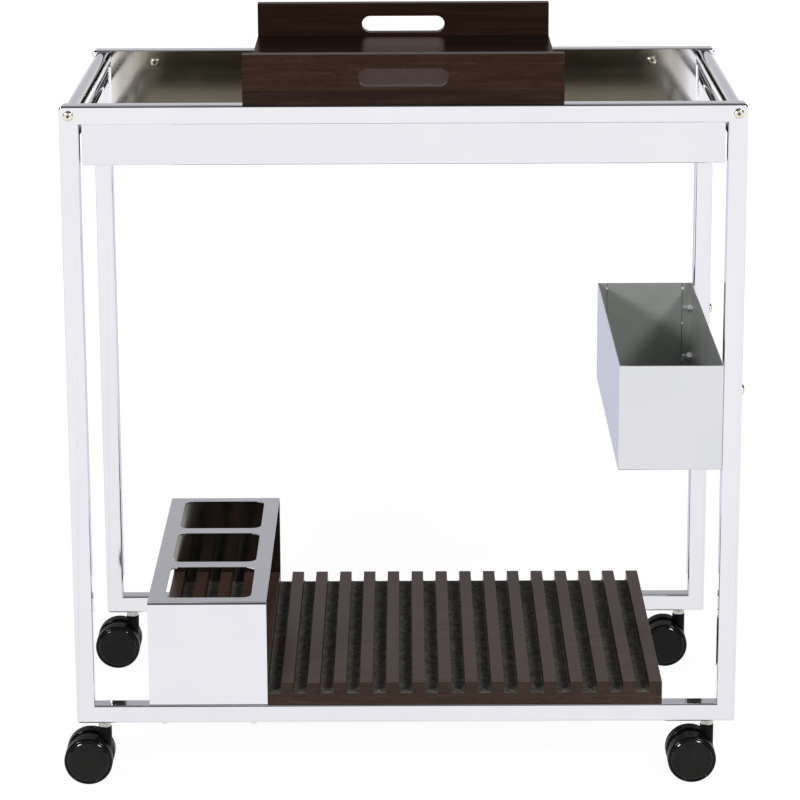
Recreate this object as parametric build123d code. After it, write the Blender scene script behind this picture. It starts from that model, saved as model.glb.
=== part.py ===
from build123d import *
import os

# Service cart with a loose serving tray, a trough, a side bin, a slatted shelf and a bottle rack.
# Millimetres. X runs left to right as seen from the front, Y from front to rear, Z up from the floor.
# The cart is drawn about its own middle and moved sideways at the end, so that the origin
# is under the middle of everything, the trailing wheels and the bolt heads on the right included.

# Tube frames
cart_width = 680.0
cart_depth = 380.0
frame_height = 645.0
tube_size = 19.0
tube_wall = 1.2
tube_edge_radius = 2.0
top_corner_radius = 5.0
bottom_corner_radius = 3.0

# Handle tubes and guard rods between the frames
handle_radius = 8.0
handle_wall = 1.2
handle_drop = 10.0
guard_radius = 5.0
guard_drop = 39.0
guard_spigot = 4.0
insert_length = 16.0

# Trough
trough_depth = 63.0
trough_sheet = 1.2
trough_bend = 3.0
trough_end_gap = 1.5
trough_top_drop = 0.5
trough_screw_x = 271.0
trough_screw_drop = 12.6

# Slatted board
board_width = 529.0
board_thickness = 24.0
slat_count = 20
slat_width = 13.2
groove_depth = 11.5
board_screw_x = (20.0, 235.0)

# Bottle rack
rack_width = 122.0
rack_height = 112.0
rack_sheet = 1.2
rack_bend = 3.0
rack_flange = 22.0
rack_screw_spacing = 92.0
bottle_hole_width = 89.0
bottle_hole_depth = 103.0
bottle_hole_radius = 10.0
bottle_hole_pitch = 122.0
bottle_hole_count = 3

# Side bin
bin_width = 105.0
bin_height = 109.0
bin_drop = 266.0
bin_sheet = 1.0
bin_bend = 2.0
bin_flange = 9.7
bin_bolt_inset = 27.0
bin_bolt_end = 9.6

# Serving tray
tray_width = 317.0
tray_base_thickness = 14.0
tray_panel_height = 36.0
tray_panel_thickness = 15.0
tray_rebate = 1.0
tray_edge_radius = 1.0
slot_length = 90.0
slot_height = 18.0
slot_drop = 23.0
tray_screw_spacing = 230.0
tray_screw_bite = 9.0

# Casters
wheel_radius = 25.0
wheel_width = 15.5
rim_radius = 4.5
inner_rim_radius = 1.5
cap_radius = 20.0
cap_thickness = 2.3
hub_radius = 8.0
hub_recess_radius = 6.0
hub_recess_depth = 2.5
web_thickness = 3.0
tread_thickness = 4.0
axle_radius = 3.0
axle_head_radius = 5.0
axle_head_thickness = 1.5
axle_drop = 38.0
caster_trail = 16.4
stem_inset = 28.0
hood_thickness = 12.0
hood_radius = 23.0
hood_skirt = 9.0
boss_radius = 7.0
hex_across_flats = 12.5
hex_height = 6.0
pin_radius = 4.0
pin_length = 16.0
stem_thread_radius = 5.0
stem_thread_length = 10.0
weld_nut_size = 14.0
weld_nut_height = 8.0

# Fasteners
bolt_radius = 3.0
bolt_head_radius = 5.2
bolt_head_height = 2.8
bolt_head_round = 2.2
bolt_socket = 4.0
bolt_socket_depth = 1.6
screw_radius = 2.5
screw_head_radius = 5.0
screw_head_height = 3.0
screw_head_round = 2.0
screw_socket = 3.0
screw_socket_depth = 1.4
screw_bite = 8.0
nut_wall = 1.5
nut_height = 4.0
tray_screw_radius = 2.0
tray_screw_head_radius = 4.0
tray_screw_head_depth = 2.2

# Clearances
press_clearance = 0.02
running_clearance = 0.05
bolt_clearance = 0.2
side_clearance = 0.3
wheel_side_gap = 0.5
boss_wheel_gap = 1.0
access_clearance = 1.0

# How far a cut runs past the face that it opens, and the smallest inner radius of a fold
cut_past = 1.0
least_radius = 0.3

# Levels and lines that the pieces share
frame_bottom = wheel_radius + axle_drop
frame_top = frame_bottom + frame_height
shelf_level = frame_bottom + tube_size
half_width = cart_width / 2
half_depth = cart_depth / 2
post_x = half_width - tube_size / 2
frame_y = half_depth - tube_size / 2
inner_face_x = half_width - tube_size
inner_face_y = half_depth - tube_size
bore_size = tube_size - 2 * tube_wall
bore_radius = max(tube_edge_radius - tube_wall, least_radius)
handle_z = frame_top - handle_drop
guard_z = frame_top - guard_drop
stem_x = half_width - stem_inset
trough_half = inner_face_x - trough_end_gap
trough_screw_z = frame_top - trough_screw_drop
rack_left = -board_width / 2
rack_middle = rack_left + rack_width / 2
rack_screw_lines = (rack_middle - rack_screw_spacing / 2, rack_middle + rack_screw_spacing / 2)
board_half_depth = half_depth - rack_sheet - side_clearance
bin_top = frame_top - bin_drop
bin_bottom = bin_top - bin_height
bin_left = inner_face_x - bin_width
bin_bolt_z = bin_top - bin_bolt_inset
bin_stud_z = bin_bottom + bin_bolt_inset
tray_panel_y = half_depth - tray_panel_thickness / 2
tray_top = frame_top + tray_base_thickness
tray_bed = tray_top + tray_rebate
hood_half = hood_thickness / 2
wheel_start = hood_half + wheel_side_gap
stem_pin_top = frame_bottom - hex_height
boss_top = stem_pin_top - side_clearance

reach_left = max(half_width, stem_x + caster_trail + wheel_radius)
reach_right = max(half_width + bolt_head_height, stem_x - caster_trail + wheel_radius)
origin_shift = (reach_left - reach_right) / 2

sides = {"front": -1, "rear": 1}
ends = {"left": -1, "right": 1}
heads_out = {-1: Rot(90, 0, 0), 1: Rot(-90, 0, 0)}


def box(x0, x1, y0, y1, z0, z1):
    middle = Pos((x0 + x1) / 2, (y0 + y1) / 2, (z0 + z1) / 2)
    return middle * Box(abs(x1 - x0), abs(y1 - y0), abs(z1 - z0))


def rod_x(radius, x0, x1, y, z):
    return Pos((x0 + x1) / 2, y, z) * Rot(0, 90, 0) * Cylinder(radius, abs(x1 - x0))


def rod_y(radius, x, y0, y1, z):
    return Pos(x, (y0 + y1) / 2, z) * Rot(90, 0, 0) * Cylinder(radius, abs(y1 - y0))


def rod_z(radius, x, y, z0, z1):
    return Pos(x, y, (z0 + z1) / 2) * Cylinder(radius, abs(z1 - z0))


def hexagon(across_flats, height):
    return extrude(RegularPolygon(across_flats / 2, 6, major_radius=False), height)


def save(name, *solids):
    moved = [Pos(origin_shift, 0, 0) * solid for solid in solids]
    shape = moved[0] if len(moved) == 1 else Compound(children=moved)
    export_step(shape, f"parts/{name}.step")


def round_head(radius, height, round_over, socket, socket_depth):
    # Domed head standing on Z = 0, with a hexagon socket in its top.
    head = Pos(0, 0, height / 2) * Cylinder(radius, height)
    head = fillet(head.edges().group_by(Axis.Z)[-1], round_over)
    return head - Pos(0, 0, height - socket_depth) * hexagon(socket, socket_depth)


def button_bolt(length):
    head = round_head(bolt_head_radius, bolt_head_height, bolt_head_round, bolt_socket, bolt_socket_depth)
    return head + Pos(0, 0, -length / 2) * Cylinder(bolt_radius, length)


def round_screw(length):
    head = round_head(screw_head_radius, screw_head_height, screw_head_round, screw_socket, screw_socket_depth)
    return head + Pos(0, 0, -length / 2) * Cylinder(screw_radius, length)


# Tube frames: the four members of a frame meet in mitres, hollow right round the corner.
def frame_envelope(inset, y):
    half = half_width - inset
    shape = box(-half, half, y - tube_size, y + tube_size, frame_bottom + inset, frame_top - inset)
    shape = fillet(shape.edges().filter_by(Axis.Y).group_by(Axis.Z)[-1], top_corner_radius - inset)
    return fillet(shape.edges().filter_by(Axis.Y).group_by(Axis.Z)[0], bottom_corner_radius - inset)


def mitre_wedge(outer, inner, y):
    corners = [(x, y - tube_size, z) for x, z in (outer[0], outer[1], inner[1], inner[0])]
    face = make_face(Polyline(*corners, close=True))
    return extrude(face, 2 * tube_size, dir=(0, 1, 0))


def frame_member(place, length, wedge, y):
    outer = place * extrude(RectangleRounded(tube_size, tube_size, tube_edge_radius), length, both=True)
    bore = place * extrude(RectangleRounded(bore_size, bore_size, bore_radius), length, both=True)
    tube = (outer & frame_envelope(0, y)) - (bore & frame_envelope(tube_wall, y))
    return tube & wedge


def frame_rail(y, outer_z, inner_z):
    middle = (outer_z + inner_z) / 2
    wedge = mitre_wedge(
        [(-half_width, outer_z), (half_width, outer_z)], [(-inner_face_x, inner_z), (inner_face_x, inner_z)], y
    )
    return frame_member(Pos(0, y, middle) * Rot(0, 90, 0), cart_width, wedge, y)


def frame_post(end, y):
    wedge = mitre_wedge(
        [(end * half_width, frame_bottom), (end * half_width, frame_top)],
        [(end * inner_face_x, shelf_level), (end * inner_face_x, frame_top - tube_size)],
        y,
    )
    return frame_member(Pos(end * post_x, y, frame_bottom + frame_height / 2), frame_height, wedge, y)


def handle_bolt_hole(end, y):
    return rod_y(bolt_radius + bolt_clearance, end * post_x, y - tube_size, y + tube_size, handle_z)


def make_top_rail(side):
    y = side * frame_y
    rail = frame_rail(y, frame_top, frame_top - tube_size)
    for end in ends.values():
        rail -= handle_bolt_hole(end, y)
        rail -= rod_y(screw_radius + bolt_clearance, end * trough_screw_x, side * inner_face_y, y, trough_screw_z)
    return rail


def make_bottom_rail(side):
    y = side * frame_y
    rail = frame_rail(y, frame_bottom, shelf_level)
    middle = frame_bottom + tube_size / 2
    for end in ends.values():
        rail -= rod_z(stem_thread_radius + bolt_clearance, end * stem_x, y, frame_bottom - tube_wall, middle)
    for x in rack_screw_lines:
        rail -= rod_z(screw_radius + bolt_clearance, x, y, frame_bottom - tube_wall, shelf_level + tube_wall)
    for x in board_screw_x:
        rail -= rod_z(screw_radius + bolt_clearance, x, y, middle, shelf_level + tube_wall)
        rail -= rod_z(screw_head_radius + access_clearance, x, y, frame_bottom - tube_wall, middle)
    return rail


def make_post(side, end):
    y = side * frame_y
    post = frame_post(end, y) - handle_bolt_hole(end, y)
    post -= rod_y(guard_radius + press_clearance, end * post_x, side * inner_face_y, y, guard_z)
    if end == ends["right"]:
        post -= rod_x(bolt_radius + bolt_clearance, inner_face_x - tube_wall, half_width + tube_wall, y, bin_bolt_z)
        post -= rod_x(bolt_radius + bolt_clearance, inner_face_x - tube_wall, post_x, y, bin_stud_z)
    return post


# Handle tubes with an insert in each end, and the guard rods below them.
def make_handle_tube(end):
    tube = rod_y(handle_radius, end * post_x, -inner_face_y, inner_face_y, handle_z)
    return tube - rod_y(handle_radius - handle_wall, end * post_x, -cart_depth, cart_depth, handle_z)


def make_handle_insert(side, end):
    stop = inner_face_y - insert_length
    plug_radius = handle_radius - handle_wall - press_clearance
    plug = rod_y(plug_radius, end * post_x, side * stop, side * inner_face_y, handle_z)
    start = stop - cut_past
    return plug - rod_y(bolt_radius + press_clearance, end * post_x, side * start, side * half_depth, handle_z)


def make_handle_bolt(side, end):
    reach = tube_size + insert_length - tube_wall
    return Pos(end * post_x, side * half_depth, handle_z) * heads_out[side] * button_bolt(reach)


def make_guard_rod(end):
    reach = inner_face_y + guard_spigot
    return rod_y(guard_radius, end * post_x, -reach, reach, guard_z)


# Trough: one sheet folded up along the front and the rear.
def make_trough():
    floor = frame_top - trough_depth
    top = frame_top - trough_top_drop
    outside = box(-trough_half, trough_half, -inner_face_y, inner_face_y, floor, top)
    outside = fillet(outside.edges().filter_by(Axis.X).group_by(Axis.Z)[0], trough_bend)
    wall = inner_face_y - trough_sheet
    inside = box(-half_width, half_width, -wall, wall, floor + trough_sheet, frame_top + trough_depth)
    inner_bend = max(trough_bend - trough_sheet, least_radius)
    inside = fillet(inside.edges().filter_by(Axis.X).group_by(Axis.Z)[0], inner_bend)
    trough = outside - inside
    for end in ends.values():
        trough -= rod_y(screw_radius + bolt_clearance, end * trough_screw_x, -half_depth, half_depth, trough_screw_z)
    return trough


def make_trough_screw(side, end):
    seat = inner_face_y - trough_sheet
    turn = heads_out[-side]
    reach = trough_sheet + tube_wall + screw_bite
    return Pos(end * trough_screw_x, side * seat, trough_screw_z) * turn * round_screw(reach)


# Slatted board: grooves run from front to rear, and shallow rebates below take the flanges of the rack.
def make_board():
    half = board_width / 2
    top = shelf_level + board_thickness
    board = box(-half, half, -board_half_depth, board_half_depth, shelf_level, top)
    pitch = (board_width - slat_width) / (slat_count - 1)
    for slat in range(slat_count - 1):
        start = -half + slat * pitch + slat_width
        stop = -half + (slat + 1) * pitch
        board -= box(start, stop, -half_depth, half_depth, top - groove_depth, top + groove_depth)
    left = rack_left - cut_past
    right = rack_left + rack_width + side_clearance
    below = shelf_level - cut_past
    rebate = rack_sheet + side_clearance
    fold = rack_bend + side_clearance
    for side in sides.values():
        inner = half_depth - rack_flange - side_clearance
        outer = half_depth - fold
        board -= box(left, right, side * inner, side * half_depth, below, shelf_level + rebate)
        board -= box(left, right, side * outer, side * half_depth, below, shelf_level + fold)
        for x in rack_screw_lines:
            board -= rod_z(screw_radius + press_clearance, x, side * frame_y, shelf_level, shelf_level + screw_bite)
        for x in board_screw_x:
            board -= rod_z(screw_radius + press_clearance, x, side * frame_y, shelf_level, shelf_level + screw_bite)
    return board


def make_board_screw(side, x):
    seat = shelf_level - tube_wall
    return Pos(x, side * frame_y, seat) * Rot(180, 0, 0) * round_screw(tube_wall + screw_bite)


# Bottle rack: one sheet, two walls with a flange each under the board, and a top with openings.
def make_rack():
    right = rack_left + rack_width
    top = shelf_level + rack_height
    outside = box(rack_left, right, -half_depth, half_depth, shelf_level, top)
    outside = fillet(outside.edges().filter_by(Axis.X), rack_bend)
    wall = half_depth - rack_sheet
    past_left = rack_left - cut_past
    past_right = right + cut_past
    inside = box(past_left, past_right, -wall, wall, shelf_level + rack_sheet, top - rack_sheet)
    inside = fillet(inside.edges().filter_by(Axis.X), max(rack_bend - rack_sheet, least_radius))
    rack = outside - inside
    lip = half_depth - rack_flange
    below = shelf_level - cut_past
    above = shelf_level + rack_sheet + cut_past
    rack -= box(past_left, past_right, -lip, lip, below, above)
    hole = extrude(RectangleRounded(bottle_hole_width, bottle_hole_depth, bottle_hole_radius), rack_height)
    for number in range(bottle_hole_count):
        y = (number - (bottle_hole_count - 1) / 2) * bottle_hole_pitch
        rack -= Pos(rack_middle, y, top - rack_height / 2) * hole
    for side in sides.values():
        for x in rack_screw_lines:
            rack -= rod_z(screw_radius + bolt_clearance, x, side * frame_y, below, above)
    return rack


def make_rack_screw(side, x):
    return Pos(x, side * frame_y, frame_bottom) * Rot(180, 0, 0) * round_screw(tube_size + screw_bite)


# Side bin: a cradle folded from one sheet, and two side plates with flanges inside its front and rear walls.
def bin_inside(overrun):
    wall = half_depth - bin_sheet
    inside = box(bin_left - overrun, inner_face_x + overrun, -wall, wall, bin_bottom + bin_sheet, bin_top + overrun)
    return fillet(inside.edges().filter_by(Axis.X).group_by(Axis.Z)[0], max(bin_bend - bin_sheet, least_radius))


def make_bin_cradle():
    outside = box(bin_left, inner_face_x, -half_depth, half_depth, bin_bottom, bin_top)
    outside = fillet(outside.edges().filter_by(Axis.X).group_by(Axis.Z)[0], bin_bend)
    return outside - bin_inside(cut_past)


def make_bin_side(outer_x, inward):
    plate_x = outer_x + inward * bin_sheet
    flange_x = outer_x + inward * (bin_sheet + bin_flange)
    wall = half_depth - bin_sheet
    blank = box(outer_x, plate_x, -half_depth, half_depth, bin_bottom, bin_top)
    for side in sides.values():
        fold = wall - bin_sheet
        blank += box(outer_x, flange_x, side * fold, side * half_depth, bin_bottom + bin_bend, bin_top)
    return blank & bin_inside(0)


def make_bin_post_side():
    plate = make_bin_side(inner_face_x, -1)
    for side in sides.values():
        for z in (bin_bolt_z, bin_stud_z):
            plate -= rod_x(bolt_radius + bolt_clearance, bin_left, half_width, side * frame_y, z)
    return plate


def make_bin_bolt(side):
    reach = tube_size + bin_sheet + bin_bolt_end
    return Pos(half_width, side * frame_y, bin_bolt_z) * Rot(0, 90, 0) * button_bolt(reach)


def make_bin_stud(side):
    # A stud with a flat head inside the tube, so nothing shows on the outside of the post.
    head_x = inner_face_x + tube_wall
    y = side * frame_y
    stud = rod_x(bolt_radius, inner_face_x - bin_sheet - bin_bolt_end, head_x, y, bin_stud_z)
    return stud + rod_x(bolt_head_radius, head_x, head_x + tube_wall, y, bin_stud_z)


def make_bin_nut(side, z):
    seat = inner_face_x - bin_sheet
    nut = hexagon(2 * (bolt_radius + nut_wall), nut_height)
    nut -= rod_z(bolt_radius + press_clearance, 0, 0, -cut_past, nut_height + cut_past)
    return Pos(seat, side * frame_y, z) * Rot(0, -90, 0) * nut


# Serving tray: a base board that lies on the top rails, with a slotted panel at the front and at the rear.
# The panels stand in shallow rebates, so the bed between them is one clear flat face.
def tray_screw_places():
    return [(end * tray_screw_spacing / 2, side * tray_panel_y) for side in sides.values() for end in ends.values()]


def make_tray_base():
    half = tray_width / 2
    base = box(-half, half, -half_depth, half_depth, frame_top, tray_bed)
    base = fillet(base.edges().filter_by(Axis.Z), tray_edge_radius)
    step = half_depth - tray_panel_thickness - side_clearance
    for side in sides.values():
        base -= box(-tray_width, tray_width, side * step, side * cart_depth, tray_top, tray_bed + cut_past)
    for x, y in tray_screw_places():
        base -= rod_z(tray_screw_radius + press_clearance, x, y, frame_top, tray_top)
        base -= Pos(x, y, frame_top) * tray_screw_head(press_clearance)
    return base


def tray_screw_head(grow):
    cone = Cone(tray_screw_head_radius + grow, tray_screw_radius + grow, tray_screw_head_depth)
    return Pos(0, 0, tray_screw_head_depth / 2) * cone


def make_tray_panel(side):
    half = tray_width / 2
    outer = side * half_depth
    inner = side * (half_depth - tray_panel_thickness)
    top = tray_top + tray_panel_height
    panel = box(-half, half, inner, outer, tray_top, top)
    panel = fillet(panel.edges().filter_by(Axis.X).group_by(Axis.Z)[-1], tray_edge_radius)
    slot = extrude(SlotOverall(slot_length, slot_height), tray_panel_thickness, both=True)
    panel -= Pos(0, side * tray_panel_y, top - slot_drop) * Rot(90, 0, 0) * slot
    for x, y in tray_screw_places():
        panel -= rod_z(tray_screw_radius + press_clearance, x, y, tray_top - cut_past, tray_top + tray_screw_bite)
    return panel


def make_tray_screw(x, y):
    shank = rod_z(tray_screw_radius, 0, 0, tray_screw_head_depth / 2, tray_base_thickness + tray_screw_bite)
    return Pos(x, y, frame_top) * (tray_screw_head(0) + shank)


# Casters: drawn with the stem on the Z axis and the wheels trailing to the left.
def make_stem():
    stem = Pos(0, 0, stem_pin_top) * hexagon(hex_across_flats, hex_height)
    stem += rod_z(stem_thread_radius, 0, 0, frame_bottom, frame_bottom + stem_thread_length)
    return stem + rod_z(pin_radius, 0, 0, stem_pin_top - pin_length, stem_pin_top)


def make_weld_nut():
    seat = frame_bottom + tube_wall
    half = weld_nut_size / 2
    nut = box(-half, half, -half, half, seat, seat + weld_nut_height)
    return nut - rod_z(stem_thread_radius + press_clearance, 0, 0, frame_bottom, frame_top)


def make_hood():
    disc = rod_y(hood_radius, -caster_trail, -hood_half, hood_half, wheel_radius)
    skirt_level = wheel_radius - hood_skirt
    reach = hood_radius + caster_trail
    disc &= box(-reach, reach, -hood_half, hood_half, skirt_level, frame_bottom)
    boss = rod_z(boss_radius, 0, 0, wheel_radius, boss_top)
    for side in sides.values():
        clear = wheel_radius + boss_wheel_gap
        outside = hood_half + boss_radius
        boss -= rod_y(clear, -caster_trail, side * hood_half, side * outside, wheel_radius)
    hood = disc + boss
    bore_end = stem_pin_top - pin_length - side_clearance
    hood -= rod_z(pin_radius + running_clearance, 0, 0, bore_end, frame_bottom)
    return hood - rod_y(axle_radius + press_clearance, -caster_trail, -hood_thickness, hood_thickness, wheel_radius)


def wheel_place(side):
    return Pos(-caster_trail, side * wheel_start, wheel_radius) * heads_out[side]


def make_wheel(side):
    # Drawn with its inner face on Z = 0 and the capped face at Z = wheel_width.
    cap_seat = wheel_width - cap_thickness
    head_seat = cap_seat - hub_recess_depth
    wheel = rod_z(wheel_radius, 0, 0, 0, wheel_width)
    wheel = fillet(wheel.edges().group_by(Axis.Z)[-1], rim_radius)
    wheel = fillet(wheel.edges().group_by(Axis.Z)[0], inner_rim_radius)
    wheel -= rod_z(cap_radius, 0, 0, cap_seat, wheel_width + cut_past)
    wheel -= rod_z(hub_recess_radius, 0, 0, head_seat, wheel_width)
    hollow = rod_z(wheel_radius - tread_thickness, 0, 0, -cut_past, head_seat - web_thickness)
    wheel -= hollow - rod_z(hub_radius, 0, 0, -cut_past, wheel_width)
    wheel -= rod_z(axle_radius + running_clearance, 0, 0, -cut_past, wheel_width)
    return wheel_place(side) * wheel


def make_cap(side):
    cap_seat = wheel_width - cap_thickness
    return wheel_place(side) * rod_z(cap_radius - running_clearance, 0, 0, cap_seat, wheel_width)


def make_axle():
    head_start = wheel_start + wheel_width - cap_thickness - hub_recess_depth + side_clearance
    head_stop = head_start + axle_head_thickness
    axle = rod_y(axle_radius, -caster_trail, -head_stop, head_stop, wheel_radius)
    for side in sides.values():
        axle += rod_y(axle_head_radius, -caster_trail, side * head_start, side * head_stop, wheel_radius)
    return axle


os.makedirs("parts", exist_ok=True)
corners = [(side, end) for side in sides.values() for end in ends.values()]

for side_name, side in sides.items():
    save(f"{side_name}_top_rail", make_top_rail(side))
    save(f"{side_name}_bottom_rail", make_bottom_rail(side))
    for end_name, end in ends.items():
        save(f"{side_name}_{end_name}_post", make_post(side, end))

for end_name, end in ends.items():
    save(f"{end_name}_handle_tube", make_handle_tube(end))
    save(f"{end_name}_guard_rod", make_guard_rod(end))
save("handle_tube_inserts", *[make_handle_insert(side, end) for side, end in corners])
save("handle_bolts", *[make_handle_bolt(side, end) for side, end in corners])

save("trough", make_trough())
save("trough_screws", *[make_trough_screw(side, end) for side, end in corners])

save("slatted_board", make_board())
save("board_screws", *[make_board_screw(side, x) for side in sides.values() for x in board_screw_x])
save("bottle_rack", make_rack())
save("rack_screws", *[make_rack_screw(side, x) for side in sides.values() for x in rack_screw_lines])

save("bin_cradle", make_bin_cradle())
save("bin_inner_side", make_bin_side(bin_left, 1))
save("bin_post_side", make_bin_post_side())
save("bin_bolts", *[make_bin_bolt(side) for side in sides.values()])
save("bin_studs", *[make_bin_stud(side) for side in sides.values()])
save("bin_nuts", *[make_bin_nut(side, z) for side in sides.values() for z in (bin_bolt_z, bin_stud_z)])

save("tray_base", make_tray_base())
for side_name, side in sides.items():
    save(f"tray_{side_name}_panel", make_tray_panel(side))
save("tray_screws", *[make_tray_screw(x, y) for x, y in tray_screw_places()])

weld_nuts = []
for side_name, side in sides.items():
    for end_name, end in ends.items():
        corner = f"{side_name}_{end_name}"
        place = Pos(end * stem_x, side * frame_y, 0)
        weld_nuts.append(place * make_weld_nut())
        save(f"{corner}_caster_stem", place * make_stem())
        save(f"{corner}_caster_hood", place * make_hood())
        save(f"{corner}_caster_axle", place * make_axle())
        for wheel_name, wheel_side in sides.items():
            save(f"{corner}_caster_{wheel_name}_wheel", place * make_wheel(wheel_side))
            save(f"{corner}_caster_{wheel_name}_cap", place * make_cap(wheel_side))
save("caster_weld_nuts", *weld_nuts)
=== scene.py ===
from math import cos, pi, radians, sin, sqrt

import bmesh
import bpy
from mathutils import Euler, Matrix, Quaternion, Vector


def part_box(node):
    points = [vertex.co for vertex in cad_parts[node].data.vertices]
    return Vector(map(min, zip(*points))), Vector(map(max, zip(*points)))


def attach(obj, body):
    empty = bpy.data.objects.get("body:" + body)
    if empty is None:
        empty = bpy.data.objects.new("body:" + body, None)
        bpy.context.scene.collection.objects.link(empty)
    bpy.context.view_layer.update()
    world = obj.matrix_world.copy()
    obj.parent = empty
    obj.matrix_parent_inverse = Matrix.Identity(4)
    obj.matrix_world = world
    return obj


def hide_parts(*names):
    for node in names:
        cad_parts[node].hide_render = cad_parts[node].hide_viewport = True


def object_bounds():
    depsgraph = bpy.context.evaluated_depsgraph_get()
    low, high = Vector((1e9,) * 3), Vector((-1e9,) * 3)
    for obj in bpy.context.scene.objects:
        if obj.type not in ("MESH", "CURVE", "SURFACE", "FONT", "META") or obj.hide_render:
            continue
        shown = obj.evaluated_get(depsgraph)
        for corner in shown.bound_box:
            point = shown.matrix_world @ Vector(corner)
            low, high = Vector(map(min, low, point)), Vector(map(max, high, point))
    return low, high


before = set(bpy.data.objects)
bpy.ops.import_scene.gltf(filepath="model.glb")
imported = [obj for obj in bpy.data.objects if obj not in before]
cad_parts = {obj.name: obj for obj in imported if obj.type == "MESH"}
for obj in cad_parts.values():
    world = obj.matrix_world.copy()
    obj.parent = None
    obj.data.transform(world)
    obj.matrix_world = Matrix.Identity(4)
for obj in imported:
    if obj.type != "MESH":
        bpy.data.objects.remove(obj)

cadLow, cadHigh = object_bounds()
mm = 0.001
past = 1 * mm  # how far a cutting tool runs past the face that it opens
match = {"place": 0.02 * mm, "merge": 0.004 * mm, "along": 0.99, "facing": 0.9}  # close enough to be one
squareEdge = 60  # degrees: square edges are eased, bends and chamfers left alone
corners = ("front_left", "front_right", "rear_left", "rear_right")
outward = {"front": -1, "rear": 1}  # along Y


# modelling by hand: add a primitive, shape it in edit mode, apply modifiers

def clearSelection():
    if bpy.context.mode != "OBJECT":
        bpy.ops.object.mode_set(mode="OBJECT")
    bpy.ops.object.select_all(action="DESELECT")


def takeUp(piece):
    clearSelection()
    piece.select_set(True)
    bpy.context.view_layer.objects.active = piece


def nameNew(name):
    piece = bpy.context.active_object
    piece.name = name
    piece.data.name = name
    bpy.ops.object.transform_apply(location=True, rotation=True, scale=True)
    return piece


def addBlock(name, low, high):
    clearSelection()
    bpy.ops.mesh.primitive_cube_add(size=1, location=(low + high) / 2, scale=high - low)
    return nameNew(name)


def addSheet(name, middle, size, turn=(0, 0, 0)):
    clearSelection()
    bpy.ops.mesh.primitive_plane_add(size=1, location=middle, rotation=turn)
    bpy.context.active_object.scale = (size[0], size[1], 1)
    return nameNew(name)


def addRod(name, start, stop, radius, sides=64):
    clearSelection()
    line = Vector(stop) - Vector(start)
    turn = line.to_track_quat("Z", "Y").to_euler()
    place = (Vector(start) + Vector(stop)) / 2
    bpy.ops.mesh.primitive_cylinder_add(
        vertices=sides, radius=radius, depth=line.length, location=place, rotation=turn)
    return nameNew(name)


def openMesh(piece):
    takeUp(piece)
    bpy.ops.object.mode_set(mode="EDIT")
    bpy.ops.mesh.select_all(action="SELECT")


def closeMesh():
    bpy.ops.object.mode_set(mode="OBJECT")


def pick(piece, kind, test):
    bpy.ops.mesh.select_mode(type=kind)
    bpy.ops.mesh.select_all(action="DESELECT")
    shape = bmesh.from_edit_mesh(piece.data)
    shape.normal_update()
    items = {"FACE": shape.faces, "EDGE": shape.edges, "VERT": shape.verts}[kind]
    for item in [item for item in items if test(item)]:
        item.select_set(True)
    bmesh.update_edit_mesh(piece.data)


def middleOf(item):
    return sum((vert.co for vert in item.verts), Vector()) / len(item.verts)


def runsAlong(edge, axis):
    line = edge.verts[1].co - edge.verts[0].co
    return abs(line["xyz".index(axis)]) > match["along"] * line.length


def isSharp(edge, degrees=50):
    return len(edge.link_faces) == 2 and edge.calc_face_angle(0) > radians(degrees)


def near(one, other, slack=match["place"]):
    return abs(one - other) < slack


def extrudeBy(x=0, y=0, z=0):
    bpy.ops.mesh.extrude_region_move(TRANSFORM_OT_translate={"value": (x, y, z)})


def roundPicked(radius, steps):
    bpy.ops.mesh.bevel(offset=radius, segments=steps, affect="EDGES")


def useModifier(piece, kind, **settings):
    takeUp(piece)
    modifier = piece.modifiers.new(kind.lower(), kind)
    for name, value in settings.items():
        setattr(modifier, name, value)
    bpy.ops.object.modifier_apply(modifier=modifier.name)


def thicken(piece, sheet):
    useModifier(piece, "SOLIDIFY", thickness=sheet, offset=-1, use_even_offset=True)


def easeEdges(piece, width, steps=2, degrees=40):
    useModifier(piece, "BEVEL", width=width, segments=steps, limit_method="ANGLE",
                angle_limit=radians(degrees), use_clamp_overlap=True)


def cutWith(piece, cutter, operation="DIFFERENCE"):
    useModifier(piece, "BOOLEAN", object=cutter, operation=operation, solver="EXACT")
    bpy.data.objects.remove(cutter)


def smoothPiece(piece, degrees=35):
    takeUp(piece)
    bpy.ops.object.shade_smooth_by_angle(angle=radians(degrees))
    useModifier(piece, "WEIGHTED_NORMAL", keep_sharp=True, weight=100)


def copyPiece(piece, name, place=Matrix()):
    takeUp(piece)
    bpy.ops.object.duplicate(linked=False)
    twin = bpy.context.active_object
    twin.matrix_world = place @ twin.matrix_world
    return nameNew(name)


def joinPieces(piece, *others):
    takeUp(piece)
    for other in others:
        other.select_set(True)
    bpy.ops.object.join()


def spinOutline(name, outline, steps=72):
    # outline: (radius, height) points, turned about the Z axis
    clearSelection()
    bpy.ops.mesh.primitive_plane_add(size=mm, location=(outline[0][0], 0, outline[0][1]))
    piece = nameNew(name)
    openMesh(piece)
    bpy.ops.mesh.select_mode(type="VERT")
    bpy.ops.mesh.merge(type="CENTER")
    for last, point in zip(outline, outline[1:]):
        move = (point[0] - last[0], 0, point[1] - last[1])
        bpy.ops.mesh.extrude_vertices_move(TRANSFORM_OT_translate={"value": move})
    bpy.ops.mesh.select_all(action="SELECT")
    bpy.ops.mesh.spin(steps=steps, angle=2 * pi, center=(0, 0, 0), axis=(0, 0, 1))
    bpy.ops.mesh.select_all(action="SELECT")
    bpy.ops.mesh.remove_doubles(threshold=match["merge"])
    bpy.ops.mesh.normals_make_consistent(inside=False)
    closeMesh()
    return piece


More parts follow.
